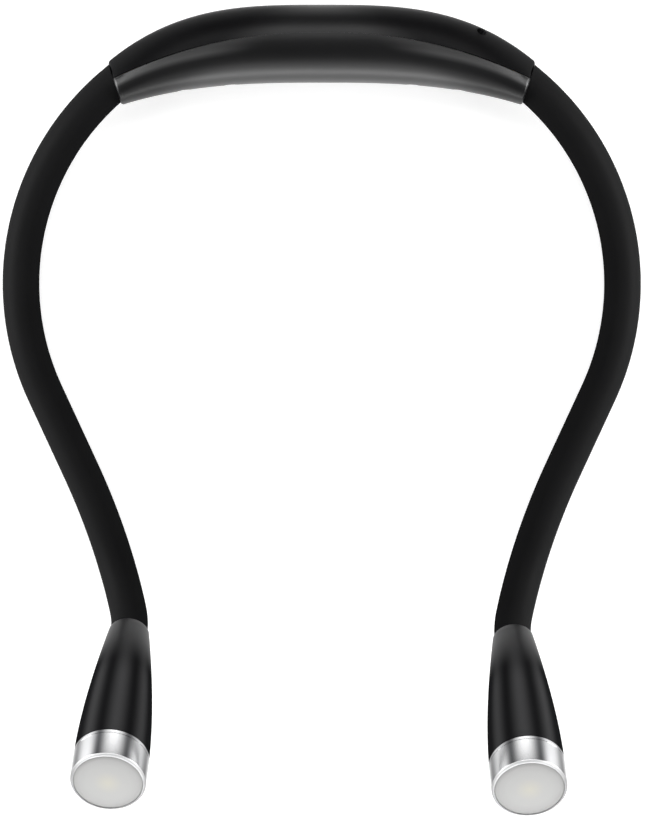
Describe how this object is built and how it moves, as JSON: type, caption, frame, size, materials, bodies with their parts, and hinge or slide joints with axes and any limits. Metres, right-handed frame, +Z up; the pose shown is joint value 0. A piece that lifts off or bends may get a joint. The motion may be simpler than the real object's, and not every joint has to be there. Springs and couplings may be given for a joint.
{
  "type": "neck reading light",
  "caption": "Wearable reading light: curved battery housing behind the neck, flexible sleeved arms and a tapered lamp head with a metal bezel at the end of each arm.",
  "frame": {"origin": "middle of the bounding box in X and Y, on the table that the light lies on", "axes": "+Z up from the table, +Y from the lamp heads towards the neck housing, +X towards the arm that is on the right of the picture"},
  "size_m": [0.21, 0.2658, 0.0823],
  "materials": {
    "satin_black": "satin black moulded plastic",
    "silicone": "matte black silicone",
    "aluminium": "turned and polished",
    "steel": "plain bright",
    "brass": "plain turned",
    "frosted": "frosted diffuser",
    "white_plastic": "white gloss",
    "clear_plastic": "smoked clear",
    "circuit_board": "green solder mask",
    "battery_wrap": "metal can in shrink wrap",
    "wire_red": "insulated wire",
    "wire_black": "insulated wire"
  },
  "bodies": {
    "housing": {"outer_shell": "satin_black", "inner_shell": "satin_black", "shell_screw_1": "steel", "shell_screw_2": "steel", "shell_screw_3": "steel", "shell_screw_4": "steel", "battery_cell": "battery_wrap", "charge_board": "circuit_board", "usb_socket": "steel", "light_pipe": "clear_plastic", "battery_lead_red": "wire_red", "battery_lead_black": "wire_black", "left_housing_lead": "wire_black", "right_housing_lead": "wire_black", "left_housing_ferrule": "brass", "right_housing_ferrule": "brass"},
    "left_upper_arm": {"left_sleeve_upper": "silicone", "left_gooseneck_upper": "steel", "left_lead_upper": "wire_black"},
    "left_middle_arm": {"left_sleeve_middle": "silicone", "left_gooseneck_middle": "steel", "left_lead_middle": "wire_black"},
    "left_lower_arm": {"left_sleeve_lower": "silicone", "left_gooseneck_lower": "steel", "left_lead_lower": "wire_black"},
    "left_head": {"left_sleeve_end": "silicone", "left_gooseneck_end": "steel", "left_lead_end": "wire_black", "left_head_shell": "satin_black", "left_bezel_ring": "aluminium", "left_lens": "frosted", "left_reflector": "white_plastic", "left_led_board": "white_plastic", "left_heat_slug": "aluminium", "left_head_ferrule": "brass", "left_switch_board": "circuit_board", "left_head_lead": "wire_black"},
    "left_button": {"left_button": "silicone"},
    "right_upper_arm": {"right_sleeve_upper": "silicone", "right_gooseneck_upper": "steel", "right_lead_upper": "wire_black"},
    "right_middle_arm": {"right_sleeve_middle": "silicone", "right_gooseneck_middle": "steel", "right_lead_middle": "wire_black"},
    "right_lower_arm": {"right_sleeve_lower": "silicone", "right_gooseneck_lower": "steel", "right_lead_lower": "wire_black"},
    "right_head": {"right_sleeve_end": "silicone", "right_gooseneck_end": "steel", "right_lead_end": "wire_black", "right_head_shell": "satin_black", "right_bezel_ring": "aluminium", "right_lens": "frosted", "right_reflector": "white_plastic", "right_led_board": "white_plastic", "right_heat_slug": "aluminium", "right_head_ferrule": "brass", "right_switch_board": "circuit_board", "right_head_lead": "wire_black"},
    "right_button": {"right_button": "silicone"}
  },
  "joints": [
    {"name": "left_arm_spread", "type": "hinge", "parent": "housing", "child": "left_upper_arm", "pos_m": [-0.08632, 0.08595, 0.00871], "axis": [0, 0, -1], "range_deg": [-12, 35], "deforming": ["left_sleeve_upper", "left_gooseneck_upper", "left_lead_upper"]},
    {"name": "left_arm_raise", "type": "hinge", "parent": "left_upper_arm", "child": "left_middle_arm", "pos_m": [-0.09877, 0.03632, 0.0061], "axis": [-0.9983, -0.0577, 0], "range_deg": [-45, 60], "deforming": ["left_sleeve_middle", "left_gooseneck_middle", "left_lead_middle"]},
    {"name": "left_head_swing", "type": "hinge", "parent": "left_middle_arm", "child": "left_lower_arm", "pos_m": [-0.08345, -0.01099, 0.0061], "axis": [0, 0, 1], "range_deg": [-35, 35], "deforming": ["left_sleeve_lower", "left_gooseneck_lower", "left_lead_lower"]},
    {"name": "left_head_tilt", "type": "hinge", "parent": "left_lower_arm", "child": "left_head", "pos_m": [-0.06539, -0.05858, 0.00992], "axis": [-0.9678, -0.2519, 0], "range_deg": [-45, 40], "deforming": ["left_sleeve_end", "left_gooseneck_end", "left_lead_end"]},
    {"name": "left_button_press", "type": "slide", "parent": "left_head", "child": "left_button", "axis": [0.0988, 0.7306, 0.6756], "range_m": [0, 0.0008], "stiffness_N_per_m": 300},
    {"name": "right_arm_spread", "type": "hinge", "parent": "housing", "child": "right_upper_arm", "pos_m": [0.08646, 0.08571, 0.00867], "axis": [0, 0, 1], "range_deg": [-12, 35], "deforming": ["right_sleeve_upper", "right_gooseneck_upper", "right_lead_upper"]},
    {"name": "right_arm_raise", "type": "hinge", "parent": "right_upper_arm", "child": "right_middle_arm", "pos_m": [0.09872, 0.03552, 0.0061], "axis": [-0.9978, 0.067, 0], "range_deg": [-45, 60], "deforming": ["right_sleeve_middle", "right_gooseneck_middle", "right_lead_middle"]},
    {"name": "right_head_swing", "type": "hinge", "parent": "right_middle_arm", "child": "right_lower_arm", "pos_m": [0.08291, -0.01216, 0.0061], "axis": [0, 0, -1], "range_deg": [-35, 35], "deforming": ["right_sleeve_lower", "right_gooseneck_lower", "right_lead_lower"]},
    {"name": "right_head_tilt", "type": "hinge", "parent": "right_lower_arm", "child": "right_head", "pos_m": [0.06494, -0.06035, 0.00984], "axis": [-0.9697, 0.2443, 0], "range_deg": [-45, 40], "deforming": ["right_sleeve_end", "right_gooseneck_end", "right_lead_end"]},
    {"name": "right_button_press", "type": "slide", "parent": "right_head", "child": "right_button", "axis": [-0.0771, 0.7332, 0.6756], "range_m": [0, 0.0008], "stiffness_N_per_m": 300}
  ]
}
